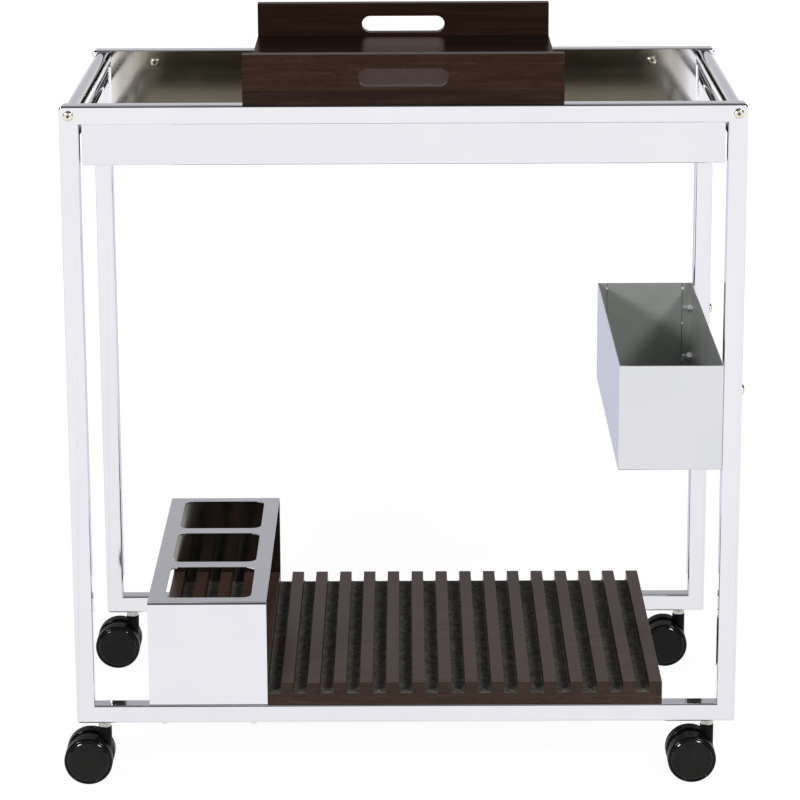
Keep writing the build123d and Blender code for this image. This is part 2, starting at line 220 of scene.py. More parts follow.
def arcPoints(middle, radius, start, stop, steps):
    angles = [radians(start + (stop - start) * step / steps) for step in range(steps + 1)]
    return [(middle[0] + radius * cos(a), middle[1] + radius * sin(a)) for a in angles]


def paintFaces(piece, material, test):
    piece.data.materials.append(material)
    openMesh(piece)
    pick(piece, "FACE", test)
    piece.active_material_index = len(piece.data.materials) - 1
    bpy.ops.object.material_slot_assign()
    closeMesh()


def joinedBox(nodes):
    boxes = [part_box(node) for node in nodes]
    low = Vector([min(box[0][i] for box in boxes) for i in range(3)])
    high = Vector([max(box[1][i] for box in boxes) for i in range(3)])
    return low, high


def boxMiddle(node):
    low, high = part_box(node)
    return (low + high) / 2


def fitPiece(piece, material, slot, body, *nodes):
    if not piece.data.materials:
        piece.data.materials.append(material)
    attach(piece, body)
    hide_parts(*nodes)


# materials

def colour(code):
    # sRGB hex to linear
    parts = [int(code[i:i + 2], 16) / 255 for i in (1, 3, 5)]
    return [p / 12.92 if p <= 0.04045 else ((p + 0.055) / 1.055) ** 2.4 for p in parts] + [1]


def plug(tree, node, links):
    for name, source in links.items():
        tree.links.new(source, node.inputs[name])


def addNode(tree, kind, settings=None, links=None):
    node = tree.nodes.new(kind)
    for name, value in (settings or {}).items():
        if name == "stops":  # a colour ramp's places and tones
            for place, tone in value[2:]:
                node.color_ramp.elements.new(place)
            for stop, (place, tone) in zip(node.color_ramp.elements, value):
                stop.position = place
                stop.color = colour(tone)
        elif isinstance(name, int) or name in node.inputs:
            node.inputs[name].default_value = value
        else:
            setattr(node, name, value)
    plug(tree, node, links or {})
    return node


def newMaterial(name):
    material = bpy.data.materials.new(name)
    material.use_nodes = True
    tree = material.node_tree
    return material, tree, tree.nodes["Principled BSDF"]


def finishSurface(tree, shader, tone, haze, rough, relief, bump):
    # haze spreads the roughness between its two ends, relief is the bump's height
    spread = addNode(tree, "ShaderNodeMapRange", {"To Min": rough[0], "To Max": rough[1]}, {"Value": haze})
    raised = addNode(tree, "ShaderNodeBump", bump, {"Height": relief})
    plug(tree, shader, {"Base Color": tone, "Roughness": spread.outputs["Result"],
                        "Normal": raised.outputs["Normal"]})


# chrome or nickel plate on steel: a mirror, hazed by buffing, with a slow wave left by drawing the tube
def makePlate(name, tones, rough, wave, metal=1.0):
    material, tree, shader = newMaterial(name)
    spot = addNode(tree, "ShaderNodeTexCoord").outputs["Object"]
    cloud = addNode(tree, "ShaderNodeTexNoise", {"Scale": 1 / wave["span"], "Detail": 2.0},
                    {"Vector": spot})
    tint = addNode(tree, "ShaderNodeValToRGB", {"stops": [(0.3, tones[0]), (0.7, tones[1])]},
                   {"Fac": cloud.outputs["Fac"]})
    buff = addNode(tree, "ShaderNodeTexNoise", {"Scale": 1 / wave["buff"], "Detail": 4.0}, {"Vector": spot})
    finishSurface(tree, shader, tint.outputs["Color"], buff.outputs["Fac"], rough,
                  cloud.outputs["Fac"], {"Distance": wave["depth"]})
    shader.inputs["Metallic"].default_value = metal
    return material


# stainless sheet: long brush lines, drawn coarser than real so that they show, over faint rolling clouds
def makeSheetSteel(name, tones, rough, brush, metal=1.0):
    material, tree, shader = newMaterial(name)
    spot = addNode(tree, "ShaderNodeTexCoord").outputs["Object"]
    drawn = addNode(tree, "ShaderNodeMapping", {"Scale": brush["stretch"]}, {"Vector": spot})
    lines = addNode(tree, "ShaderNodeTexNoise",
                    {"Scale": 1 / brush["pitch"], "Detail": 4.0, "Roughness": 0.65},
                    {"Vector": drawn.outputs["Vector"]})
    cloud = addNode(tree, "ShaderNodeTexNoise", {"Scale": 1 / brush["cloud"], "Detail": 2.0},
                    {"Vector": spot})
    blend = addNode(tree, "ShaderNodeMath", {"operation": "MULTIPLY_ADD", 1: brush["lineShare"]},
                    {0: lines.outputs["Fac"], 2: cloud.outputs["Fac"]})
    middle = 0.5 + brush["lineShare"] / 2
    spread = 0.25
    stops = [(middle - spread, tones[0]), (middle + spread, tones[1])]
    tint = addNode(tree, "ShaderNodeValToRGB", {"stops": stops}, {"Fac": blend.outputs["Value"]})
    tone = tint.outputs["Color"]
    if "litEnds" in brush:  # painted light: the sheet's inside grows brighter toward its two open ends
        parts = addNode(tree, "ShaderNodeSeparateXYZ", None, {"Vector": spot})
        away = addNode(tree, "ShaderNodeMath", {"operation": "ABSOLUTE"}, {0: parts.outputs["X"]})
        start, stop = brush["litEnds"]
        share = addNode(tree, "ShaderNodeMapRange", {"From Min": start, "From Max": stop},
                        {"Value": away.outputs["Value"]})
        endLight = addNode(tree, "ShaderNodeMix", {"data_type": "RGBA", 7: colour(brush["endLight"])},
                       {0: share.outputs["Result"], 6: tone})
        tone = endLight.outputs[2]
    finishSurface(tree, shader, tone, lines.outputs["Fac"], rough,
                  lines.outputs["Fac"], {"Distance": brush["depth"]})
    shader.inputs["Metallic"].default_value = metal
    return material


# stained hardwood under a satin lacquer: red-brown bands and streaks along X, open pores as short dark lines
stainTint = "#ffa877"


def makeWood(name, tones, grain, rough, gloss, stain=0.0):
    material, tree, shader = newMaterial(name)
    spot = addNode(tree, "ShaderNodeTexCoord").outputs["Object"]
    along = addNode(tree, "ShaderNodeMapping", {"Scale": grain["stretch"]}, {"Vector": spot})
    band = addNode(tree, "ShaderNodeTexNoise",
                   {"Scale": 1 / grain["band"], "Detail": 5.0, "Roughness": 0.6, "Distortion": 0.4},
                   {"Vector": along.outputs["Vector"]})
    streak = addNode(tree, "ShaderNodeTexNoise",
                     {"Scale": 1 / grain["streak"], "Detail": 3.0, "Roughness": 0.7},
                     {"Vector": along.outputs["Vector"]})
    both = addNode(tree, "ShaderNodeMath", {"operation": "MULTIPLY_ADD", 1: grain["streakShare"]},
                   {0: streak.outputs["Fac"], 2: band.outputs["Fac"]})
    stops = [(0.55, tones[0]), (0.75, tones[1]), (0.98, tones[2])]
    tint = addNode(tree, "ShaderNodeValToRGB", {"stops": stops}, {"Fac": both.outputs["Value"]})
    pores = addNode(tree, "ShaderNodeMapping", {"Scale": grain["poreStretch"]}, {"Vector": spot})
    pore = addNode(tree, "ShaderNodeTexNoise", {"Scale": 1 / grain["pore"], "Detail": 2.0},
                   {"Vector": pores.outputs["Vector"]})
    closed = addNode(tree, "ShaderNodeValToRGB", {"stops": [(0.34, "#000000"), (0.44, "#ffffff")]},
                     {"Fac": pore.outputs["Fac"]})
    shade = addNode(tree, "ShaderNodeMix", {"data_type": "RGBA", 6: colour(grain["poreTone"])},
                    {0: closed.outputs["Color"], 7: tint.outputs["Color"]})
    finishSurface(tree, shader, shade.outputs[2], band.outputs["Fac"], rough,
                  closed.outputs["Color"], {"Strength": 0.6, "Distance": grain["depth"]})
    shader.inputs["Specular IOR Level"].default_value = gloss
    if stain:  # the stain tints what the lacquer mirrors at a flat angle, as a metal's edge colour does
        shader.inputs["Metallic"].default_value = stain
        shader.inputs["Specular Tint"].default_value = colour(stainTint)
    return material


# moulded black nylon: deep black, faint flow clouds, finer or coarser mould grain
nylon = {"index": 1.53, "flow": 14 * mm}


def makeNylon(name, tones, rough, gloss, grit):
    material, tree, shader = newMaterial(name)
    spot = addNode(tree, "ShaderNodeTexCoord").outputs["Object"]
    flow = addNode(tree, "ShaderNodeTexNoise", {"Scale": 1 / nylon["flow"], "Detail": 3.0}, {"Vector": spot})
    tint = addNode(tree, "ShaderNodeValToRGB", {"stops": [(0.35, tones[0]), (0.7, tones[1])]},
                   {"Fac": flow.outputs["Fac"]})
    grain = addNode(tree, "ShaderNodeTexNoise", {"Scale": 1 / grit["size"], "Detail": 2.0}, {"Vector": spot})
    finishSurface(tree, shader, tint.outputs["Color"], flow.outputs["Fac"], rough,
                  grain.outputs["Fac"], {"Strength": 0.5, "Distance": grit["depth"]})
    shader.inputs["IOR"].default_value = nylon["index"]
    shader.inputs["Specular IOR Level"].default_value = gloss
    return material


# tubes and stems are clear mirrors, the stems darker as painted shade; fasteners softer and warmer, sockets
# painted dark as shade in their recess, hidden zinc dull
chromeTube = makePlate("polishedChromeTube", ("#e4e4ea", "#e7e7ec"), (0.03, 0.06),
                       {"span": 90 * mm, "buff": 25 * mm, "depth": 0.01 * mm})
# the stems' chrome is toned darker than the tubes' as painted shade under the rails
stemChrome = makePlate("paintedShadeStemChrome", ("#a2a19c", "#c4c3be"), (0.05, 0.1),
                       {"span": 6 * mm, "buff": 3 * mm, "depth": 0.01 * mm})
nickelPlate = makePlate("nickelPlatedSteel", ("#d8cfbb", "#ece5d6"), (0.14, 0.26),
                        {"span": 5 * mm, "buff": 2 * mm, "depth": 0.02 * mm})
socketSteel = makePlate("paintedShadeSocketSteel", ("#5a5244", "#786f60"), (0.3, 0.45),
                        {"span": 3 * mm, "buff": 1 * mm, "depth": 0.02 * mm})
zincPlate = makePlate("zincPlatedSteel", ("#b9bcc2", "#cfd2d4"), (0.28, 0.42),
                      {"span": 8 * mm, "buff": 3 * mm, "depth": 0.02 * mm})
# sheets are bright outside; painted shade dulls their insides to warm grey, and painted light brightens the
# trough's inside toward its open ends
troughSteel = makeSheetSteel("brightStainlessSheet", ("#e2e2e8", "#e6e6eb"), (0.05, 0.09),
                             {"stretch": (0.03, 1, 1), "pitch": 2.5 * mm, "cloud": 140 * mm,
                              "lineShare": 0.4, "depth": 0.001 * mm})
troughInside = makeSheetSteel("paintedShadeTroughInside", ("#c0bbaf", "#c9c4b8"), (0.055, 0.085),
                              {"stretch": (0.03, 1, 1), "pitch": 2.5 * mm, "cloud": 90 * mm,
                               "lineShare": 0.8, "depth": 0.006 * mm,
                               "litEnds": (306 * mm, 319 * mm), "endLight": "#e4e4e8"}, 0.99)
rackSteel = makeSheetSteel("brushedStainlessSheet", ("#e4e4ea", "#e9e9ee"), (0.08, 0.14),
                           {"stretch": (0.02, 1, 1), "pitch": 1.6 * mm, "cloud": 90 * mm,
                            "lineShare": 0.6, "depth": 0.001 * mm})
# the rack's inside is toned dark as painted shade
rackInside = makeSheetSteel("paintedShadeRackInside", ("#8a8680", "#98948d"), (0.06, 0.12),
                            {"stretch": (0.02, 1, 1), "pitch": 1.6 * mm, "cloud": 60 * mm,
                             "lineShare": 0.6, "depth": 0.001 * mm})
# the bin is satin outside and dull grey inside, the inside's darker tone painted shade; the weld dots' white
# is a painted highlight, nuts are bright, and the flange ends are painted dark
binSteel = makeSheetSteel("satinStainlessSheet", ("#d9dadf", "#dfdfe3"), (0.2, 0.28),
                          {"stretch": (0.03, 1, 1), "pitch": 2.0 * mm, "cloud": 110 * mm,
                           "lineShare": 0.5, "depth": 0.002 * mm})
weldSteel = makePlate("paintedHighlightWeldDots", ("#f0f0f2", "#fafafc"), (0.2, 0.3),
                      {"span": 2 * mm, "buff": 1 * mm, "depth": 0.02 * mm}, 0.2)
nutZinc = makePlate("brightZincPlate", ("#dcdcde", "#f4f4f6"), (0.14, 0.24),
                    {"span": 4 * mm, "buff": 2 * mm, "depth": 0.02 * mm}, 0.8)
darkFlangeSteel = makePlate("darkFlangeEnd", ("#3a3b38", "#4a4b47"), (0.4, 0.55),
                         {"span": 3 * mm, "buff": 1 * mm, "depth": 0.02 * mm})
binInside = makeSheetSteel("millFinishPaintedShadeInside", ("#a4a7a3", "#b0b3ae"), (0.28, 0.36),
                           {"stretch": (0.03, 1, 1), "pitch": 2.0 * mm, "cloud": 60 * mm,
                            "lineShare": 0.6, "depth": 0.002 * mm}, 0.24)
# the tray's base is darker than its front, and its rear panel's darker tone is painted shade; slat tops are
# lighter as a painted sheen, grooves rough and mottled
trayGrain = {"stretch": (0.05, 1, 1), "band": 6 * mm, "streak": 1.5 * mm, "streakShare": 0.5,
             "poreStretch": (0.06, 1, 1), "pore": 0.6 * mm, "poreTone": "#2e1e15", "depth": 0.02 * mm}
trayWood = makeWood("stainedTrayWood", ("#2f221b", "#36271f", "#443028"), trayGrain,
                    (0.22, 0.32), 0.02, 0.06)
trayRearWood = makeWood("paintedShadeRearTrayWood", ("#241812", "#2b1c16", "#37251d"), trayGrain,
                        (0.22, 0.3), 0.02, 0.06)
trayBaseWood = makeWood("oiledBaseWood", ("#251c19", "#2d221e", "#382b26"), trayGrain,
                        (0.22, 0.3), 0.009, 0.175)
boardGrain = {"stretch": (0.05, 1, 1), "band": 8 * mm, "streak": 1.8 * mm, "streakShare": 0.5,
              "poreStretch": (0.06, 1, 1), "pore": 0.7 * mm, "poreTone": "#2a1f1a", "depth": 0.02 * mm}
boardWood = makeWood("stainedBoardWood", ("#352922", "#3d2f28", "#493830"), boardGrain, (0.26, 0.36), 0.1)
slatWood = makeWood("paintedSheenSlatWood", ("#48342c", "#523c32", "#5e463a"), boardGrain, (0.26, 0.36), 0.14)
grooveGrain = {"stretch": (0.8, 0.5, 1), "band": 6 * mm, "streak": 1.6 * mm, "streakShare": 0.6,
               "poreStretch": (0.8, 0.6, 1), "pore": 1.3 * mm, "poreTone": "#2c2a25", "depth": 0.08 * mm}
grooveWood = makeWood("matStainedGroove", ("#4e4a43", "#635f58", "#7f7a72"), grooveGrain, (0.75, 0.95), 0.2)
# black nylon: glossy tyre and cap bevel, satin tread and hood, dull cap
tyreNylon = makeNylon("glossBlackNylon", ("#050505", "#0b0b0a"), (0.1, 0.16), 0.18,
                      {"size": 1.2 * mm, "depth": 0.005 * mm})
bevelNylon = makeNylon("polishedBlackNylon", ("#151513", "#1d1d1c"), (0.08, 0.12), 0.35,
                       {"size": 1.2 * mm, "depth": 0.002 * mm})
treadNylon = makeNylon("rolledBlackNylon", ("#121211", "#1a1a19"), (0.3, 0.42), 0.03,
                       {"size": 0.9 * mm, "depth": 0.02 * mm})
hoodNylon = makeNylon("satinBlackNylon", ("#0b0b0a", "#141413"), (0.26, 0.38), 0.06,
                      {"size": 0.9 * mm, "depth": 0.02 * mm})
capNylon = makeNylon("matBlackNylon", ("#151513", "#1d1d1c"), (0.5, 0.62), 0.15,
                     {"size": 0.7 * mm, "depth": 0.02 * mm})
print("materials made:", len(bpy.data.materials))


# tube frames: one welded ring each, seamless at the corners
tubeFrame = {"edgeRound": 2 * mm, "edgeSteps": 5, "topCorner": 5 * mm, "bottomCorner": 3 * mm,
             "cornerSteps": 8, "accessRadius": 6 * mm, "accessDepth": 14.6 * mm,
             "accessClearance": 1 * mm, "accessSides": 32}


def makeFrame(side):
    nodes = [f"{side}_{part}" for part in ("left_post", "right_post", "top_rail", "bottom_rail")]
    low, high = joinedBox(nodes)
    ring = addBlock(side + "Frame", low, high)
    openMesh(ring)
    pick(ring, "FACE", lambda face: abs(face.normal.y) > match["facing"])
    bpy.ops.mesh.inset(thickness=high.y - low.y)
    bpy.ops.mesh.bridge_edge_loops()
    for level, radius in ((high.z, tubeFrame["topCorner"]), (low.z, tubeFrame["bottomCorner"])):
        pick(ring, "EDGE", lambda edge: runsAlong(edge, "y") and near(middleOf(edge).z, level))
        roundPicked(radius, tubeFrame["cornerSteps"])
    pick(ring, "EDGE", lambda edge: isSharp(edge) and not runsAlong(edge, "y"))
    roundPicked(tubeFrame["edgeRound"], tubeFrame["edgeSteps"])
    closeMesh()
    # holes under the rail, through which the board's screws are driven
    screwLow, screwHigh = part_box("board_screws")
    headRadius = tubeFrame["accessRadius"] - tubeFrame["accessClearance"]
    for x in (screwLow.x + headRadius, screwHigh.x - headRadius):
        start = Vector((x, (low.y + high.y) / 2, low.z - past))
        stop = start + Vector((0, 0, tubeFrame["accessDepth"] + past))
        tool = addRod("accessTool", start, stop, tubeFrame["accessRadius"], tubeFrame["accessSides"])
        cutWith(ring, tool)
    smoothPiece(ring)
    fitPiece(ring, chromeTube, "chrome_tube", "cart_frame", *nodes)


for side in outward:
    makeFrame(side)

# handle tubes and guard rods between the frames
crossRods = {"endRound": 0.6 * mm, "endSteps": 3, "sides": 72}


def makeCrossRod(node, name):
    low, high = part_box(node)
    middle = (low + high) / 2
    start = Vector((middle.x, low.y, middle.z))
    stop = Vector((middle.x, high.y, middle.z))
    rod = addRod(name, start, stop, (high.x - low.x) / 2, crossRods["sides"])
    openMesh(rod)
    pick(rod, "EDGE", isSharp)
    roundPicked(crossRods["endRound"], crossRods["endSteps"])
    closeMesh()
    smoothPiece(rod)
    fitPiece(rod, chromeTube, "chrome_tube", "cart_frame", node)


for end in ("left", "right"):
    makeCrossRod(f"{end}_handle_tube", end + "HandleTube")
    makeCrossRod(f"{end}_guard_rod", end + "GuardRod")
print("frames, handle tubes and guard rods made")


# bolts and screws: domed heads with a hexagon socket, one model of each
boltHead = {"radius": 5.2 * mm, "height": 2.8 * mm, "dome": 2.2 * mm,
            "socket": 3.0 * mm, "socketDepth": 1.4 * mm}
screwHead = {"radius": 5.0 * mm, "height": 3.0 * mm, "dome": 2.0 * mm,
             "socket": 3.0 * mm, "socketDepth": 1.4 * mm}
headMesh = {"sides": 48, "domeSteps": 8, "ease": 0.15 * mm, "seatBand": 0.5 * mm, "topBand": 0.1 * mm}
turnTo = {"-y": Matrix.Rotation(radians(90), 4, "X"), "+y": Matrix.Rotation(radians(-90), 4, "X"),
          "-z": Matrix.Rotation(radians(180), 4, "X"), "+x": Matrix.Rotation(radians(90), 4, "Y"),
          "-x": Matrix.Rotation(radians(-90), 4, "Y")}


def makeHead(name, size):
    top = size["height"]
    hexagon = size["socket"] / sqrt(3)
    head = addRod(name, (0, 0, 0), (0, 0, top), size["radius"], headMesh["sides"])
    openMesh(head)
    pick(head, "EDGE", lambda edge: isSharp(edge) and near(middleOf(edge).z, top))
    roundPicked(size["dome"], headMesh["domeSteps"])
    closeMesh()
    cutWith(head, addRod("socketTool", (0, 0, top - size["socketDepth"]), (0, 0, top + past), hexagon, 6))
    easeEdges(head, headMesh["ease"])
    head.data.materials.append(nickelPlate)
    inHeight = lambda z: headMesh["seatBand"] < z < top - headMesh["topBand"]
    inSocket = lambda spot: spot.xy.length < hexagon and inHeight(spot.z)
    # the socket's faces get a dark steel: painted shade in the recess
    paintFaces(head, socketSteel, lambda face: inSocket(middleOf(face)))
    smoothPiece(head)
    return head


def placeHead(head, name, place, turn, node):
    piece = copyPiece(head, name, Matrix.Translation(place) @ turnTo[turn])
    fitPiece(piece, nickelPlate, "nickel_fastener", "cart_frame", node)


def placePair(head, size, names, y, level, turn, node):
    # one head at each end of the node's box, the left one first
    low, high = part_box(node)
    for end, x in (("Left", low.x + size["radius"]), ("Right", high.x - size["radius"])):
        placeHead(head, names.format(end), Vector((x, y, level)), turn, node)


boltModel = makeHead("boltModel", boltHead)
screwModel = makeHead("screwModel", screwHead)

low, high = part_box("handle_bolts")
level = boxMiddle("handle_bolts").z
thick = boltHead["height"]
for side, y, turn in (("front", low.y + thick, "-y"), ("rear", high.y - thick, "+y")):
    placePair(boltModel, boltHead, side + "{}HandleBolt", y, level, turn, "handle_bolts")

# trough: one sheet folded up along the front and the rear, open at both ends
trough = {"sheet": 1.2 * mm, "bend": 1.7 * mm, "edge": 0.25 * mm, "lean": 1.4 * mm}
bendSteps = 8


def makeFoldedTray(name, node, sheet, bend, lean=0):
    # lean: how far the rear wall's foot stands inside its top edge
    low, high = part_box(node)
    middle = Vector(((low.x + high.x) / 2, (low.y + high.y - lean) / 2, low.z))
    piece = addSheet(name, middle, (high.x - low.x, high.y - low.y - lean))
    openMesh(piece)
    bpy.ops.mesh.flip_normals()
    atFoot = lambda edge: runsAlong(edge, "x") and near(middleOf(edge).z, low.z)
    for side, shift in ((-1, 0), (1, lean)):
        pick(piece, "EDGE", lambda edge: atFoot(edge) and side * (middleOf(edge).y - middle.y) > 0)
        extrudeBy(y=shift, z=high.z - low.z)
    pick(piece, "EDGE", atFoot)
    roundPicked(bend, bendSteps)
    closeMesh()
    thicken(piece, sheet)
    return piece


def finishInside(piece, outer, inner, heart):
    # faces that look at the heart of the open side get the second material, whose darker tone is painted
    # shade
    piece.data.materials.append(outer)
    paintFaces(piece, inner, lambda face: face.normal.dot(heart - middleOf(face)) > mm)


def finishSheet(piece, edge, outer, inner, heart, slot, node):
    easeEdges(piece, edge, degrees=squareEdge)
    finishInside(piece, outer, inner, heart)
    smoothPiece(piece)
    fitPiece(piece, outer, slot, "cart_frame", node)


def topHeart(*nodes):
    low, high = joinedBox(nodes)
    return Vector(((low.x + high.x) / 2, (low.y + high.y) / 2, high.z))


troughPiece = makeFoldedTray("troughSheet", "trough", trough["sheet"], trough["bend"], trough["lean"])
finishSheet(troughPiece, trough["edge"], troughSteel, troughInside, topHeart("trough"),
            "trough_sheet", "trough")

low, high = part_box("trough")
level = boxMiddle("trough_screws").z
for side, y, turn in (("front", low.y + trough["sheet"], "+y"), ("rear", high.y - trough["sheet"], "-y")):
    placePair(screwModel, screwHead, side + "{}TroughScrew", y, level, turn, "trough_screws")
print("trough and its screws made")


# slatted board: grooves cut across the grain from front to rear, rebates below for the rack's flanges
board = {"slats": 20, "slatWidth": 13.2 * mm, "grooveDepth": 11.5 * mm,
         "grooveRound": 1.6 * mm, "grooveSteps": 4, "edge": 0.7 * mm, "edgeSteps": 2,
         "rebate": 1.5 * mm, "rebateReach": 22.3 * mm, "rebateGap": 0.3 * mm, "upward": 0.3}


def makeBoard():
    low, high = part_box("slatted_board")
    floor = high.z - board["grooveDepth"]
    piece = addBlock("slattedBoard", low, Vector((high.x, high.y, floor)))
    pitch = (high.x - low.x - board["slatWidth"]) / (board["slats"] - 1)
    starts = [low.x + slat * pitch for slat in range(board["slats"])]
    openMesh(piece)
    for start in starts:
        for x in (start, start + board["slatWidth"]):
            if min(x - low.x, high.x - x) > match["place"]:
                bpy.ops.mesh.select_all(action="SELECT")
                bpy.ops.mesh.bisect(plane_co=(x, 0, 0), plane_no=(1, 0, 0))
    isSlat = lambda x: any(start < x < start + board["slatWidth"] for start in starts)
    pick(piece, "FACE", lambda face: face.normal.z > match["facing"] and isSlat(middleOf(face).x))
    extrudeBy(z=board["grooveDepth"])
    atFloor = lambda edge: near(middleOf(edge).z, floor) and runsAlong(edge, "y") and isSharp(edge)
    pick(piece, "EDGE", atFloor)
    roundPicked(board["grooveRound"], board["grooveSteps"])
    pick(piece, "EDGE", lambda edge: isSharp(edge) and edge.is_convex)
    roundPicked(board["edge"], board["edgeSteps"])
    closeMesh()
    facesUp = lambda face: face.normal.z > max(board["upward"], abs(face.normal.y))
    piece.data.materials.append(boardWood)
    paintFaces(piece, grooveWood, lambda face: facesUp(face) and middleOf(face).z < floor + mm)
    # slat tops get a lighter wood: a painted sheen
    paintFaces(piece, slatWood, lambda face: facesUp(face) and middleOf(face).z > high.z - board["edge"])
    rackLow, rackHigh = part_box("bottle_rack")
    for side in outward.values():
        ends = sorted((side * (rackHigh.y + past), side * (rackHigh.y - board["rebateReach"])))
        toolLow = Vector((rackLow.x - past, ends[0], low.z - past))
        toolHigh = Vector((rackHigh.x + board["rebateGap"], ends[1], low.z + board["rebate"]))
        cutWith(piece, addBlock("rebateTool", toolLow, toolHigh))
    smoothPiece(piece)
    fitPiece(piece, boardWood, "board_wood", "cart_frame", "slatted_board")


makeBoard()

# bottle rack: one brushed sheet, folded four times, with three openings in its top
rack = {"sheet": 1.2 * mm, "bend": 3.0 * mm, "flange": 22 * mm, "edge": 0.2 * mm,
        "holes": 3, "holePitch": 122 * mm, "holeWidth": 89 * mm, "holeDepth": 103 * mm,
        "holeRound": 10 * mm, "holeSteps": 10, "toolReach": 20 * mm}


def makeRack():
    low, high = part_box("bottle_rack")
    middle = (low + high) / 2
    piece = addSheet("bottleRack", Vector((middle.x, middle.y, high.z)), (high.x - low.x, high.y - low.y))
    openMesh(piece)
    pick(piece, "EDGE", lambda edge: runsAlong(edge, "x"))
    extrudeBy(z=low.z - high.z)
    for side in outward.values():
        foot = Vector((middle.x, high.y if side > 0 else low.y, low.z))
        pick(piece, "EDGE", lambda edge: runsAlong(edge, "x") and (middleOf(edge) - foot).length < mm)
        extrudeBy(y=-side * rack["flange"])
    pick(piece, "EDGE", lambda edge: runsAlong(edge, "x") and isSharp(edge))
    roundPicked(rack["bend"], bendSteps)
    closeMesh()
    thicken(piece, rack["sheet"])
    half = Vector((rack["holeWidth"] / 2, rack["holeDepth"] / 2, rack["toolReach"]))
    for number in range(rack["holes"]):
        away = (number - (rack["holes"] - 1) / 2) * rack["holePitch"]
        place = Vector((middle.x, middle.y + away, high.z))
        tool = addBlock("holeTool", place - half, place + half)
        openMesh(tool)
        pick(tool, "EDGE", lambda edge: runsAlong(edge, "z"))
        roundPicked(rack["holeRound"], rack["holeSteps"])
        closeMesh()
        cutWith(piece, tool)
    heart = Vector((middle.x, middle.y, low.z + rack["bend"]))
    finishSheet(piece, rack["edge"], rackSteel, rackInside, heart, "rack_sheet", "bottle_rack")


makeRack()
low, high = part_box("rack_screws")
level = low.z + screwHead["height"]
for side, y in (("front", low.y + screwHead["radius"]), ("rear", high.y - screwHead["radius"])):
    placePair(screwModel, screwHead, side + "{}RackScrew", y, level, "-z", "rack_screws")
print("slatted board, bottle rack and rack screws made")


# side bin: a folded cradle and two flanged side plates, spot-welded, bolted to the right posts
sideBin = {"sheet": 1.0 * mm, "bend": 2.0 * mm, "plateBend": 1.2 * mm, "plateSteps": 5,
           "edge": 0.2 * mm, "endRound": 0.45 * mm, "endSteps": 3,
           "weldRadius": 1.5 * mm, "weldHeight": 0.7 * mm, "weldInset": 0.6 * mm,
           "weldSides": 20, "weldEase": 0.4 * mm, "weldSteps": 3, "weldDrops": (6 * mm, 46 * mm, 88 * mm)}


def makeBinSide(node, name, inward):
    low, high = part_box(node)
    middle = (low + high) / 2
    plateX = low.x if inward > 0 else high.x
    flange = high.x - low.x
    turn = (0, radians(-90 * inward), 0)
    piece = addSheet(name, Vector((plateX, middle.y, middle.z)), (high.z - low.z, high.y - low.y), turn)
    openMesh(piece)
    pick(piece, "EDGE", lambda edge: runsAlong(edge, "z"))
    extrudeBy(x=inward * flange)
    pick(piece, "EDGE", lambda edge: runsAlong(edge, "z") and isSharp(edge))
    roundPicked(sideBin["plateBend"], sideBin["plateSteps"])
    closeMesh()
    thicken(piece, sideBin["sheet"])
    end = plateX + inward * flange
    openMesh(piece)
    pick(piece, "EDGE", lambda edge: runsAlong(edge, "z") and near(middleOf(edge).x, end))
    roundPicked(sideBin["endRound"], sideBin["endSteps"])
    closeMesh()
    easeEdges(piece, sideBin["edge"], degrees=squareEdge)
    finishInside(piece, binSteel, binInside, binHeart)
    # the flange's end faces are painted dark, which draws a dark line along the seam
    paintFaces(piece, darkFlangeSteel, lambda face: near(middleOf(face).x, end, sideBin["endRound"]))
    dots = []
    for side in outward.values():
        wall = (high.y if side > 0 else low.y) - side * sideBin["sheet"]
        for drop in sideBin["weldDrops"]:
            x = plateX + inward * (flange - sideBin["weldInset"])
            start = Vector((x, wall, high.z - drop))
            stop = start - Vector((0, side * sideBin["weldHeight"], 0))
            dot = addRod("weldDot", start, stop, sideBin["weldRadius"], sideBin["weldSides"])
            easeEdges(dot, sideBin["weldEase"], sideBin["weldSteps"])
            # the dots' white tone is a painted highlight
            dot.data.materials.append(weldSteel)
            dots.append(dot)
    joinPieces(piece, *dots)
    smoothPiece(piece)
    fitPiece(piece, binSteel, "bin_sheet", "cart_frame", node)


binHeart = topHeart("bin_cradle", "bin_inner_side", "bin_post_side")
cradle = makeFoldedTray("binCradle", "bin_cradle", sideBin["sheet"], sideBin["bend"])
finishSheet(cradle, sideBin["edge"], binSteel, binInside, binHeart, "bin_sheet", "bin_cradle")
makeBinSide("bin_inner_side", "binInnerSide", 1)
makeBinSide("bin_post_side", "binPostSide", -1)

# hexagon nuts on the bin's bolts and studs, whose threaded ends stand out of them
hexagonMesh = {"chamferRise": 0.55, "steps": 60}
nut = {"acrossFlats": 9.0 * mm, "height": 4.0 * mm, "chamfer": 0.6 * mm, "ease": 0.12 * mm}
thread = {"radius": 3.0 * mm, "pitch": 1.0 * mm, "depth": 0.35 * mm, "tip": 0.6 * mm, "tipInset": 0.4 * mm,
          "crestStop": 0.3, "root": 0.6, "crestStart": 0.95, "steps": 32}  # shares of the pitch


def makeHexagon(name, acrossFlats, height, chamfer):
    # a hexagon bar met by a turned barrel, which leaves the curved corner chamfers of a real nut
    barrel = acrossFlats / sqrt(3)
    rise = chamfer * hexagonMesh["chamferRise"]
    outline = [(0, 0), (barrel - chamfer, 0), (barrel, rise), (barrel, height - rise),
               (barrel - chamfer, height), (0, height)]
    piece = spinOutline(name, outline, hexagonMesh["steps"])
    cutWith(piece, addRod("hexagonBar", (0, 0, -past), (0, 0, height + past), barrel, 6), "INTERSECT")
    return piece


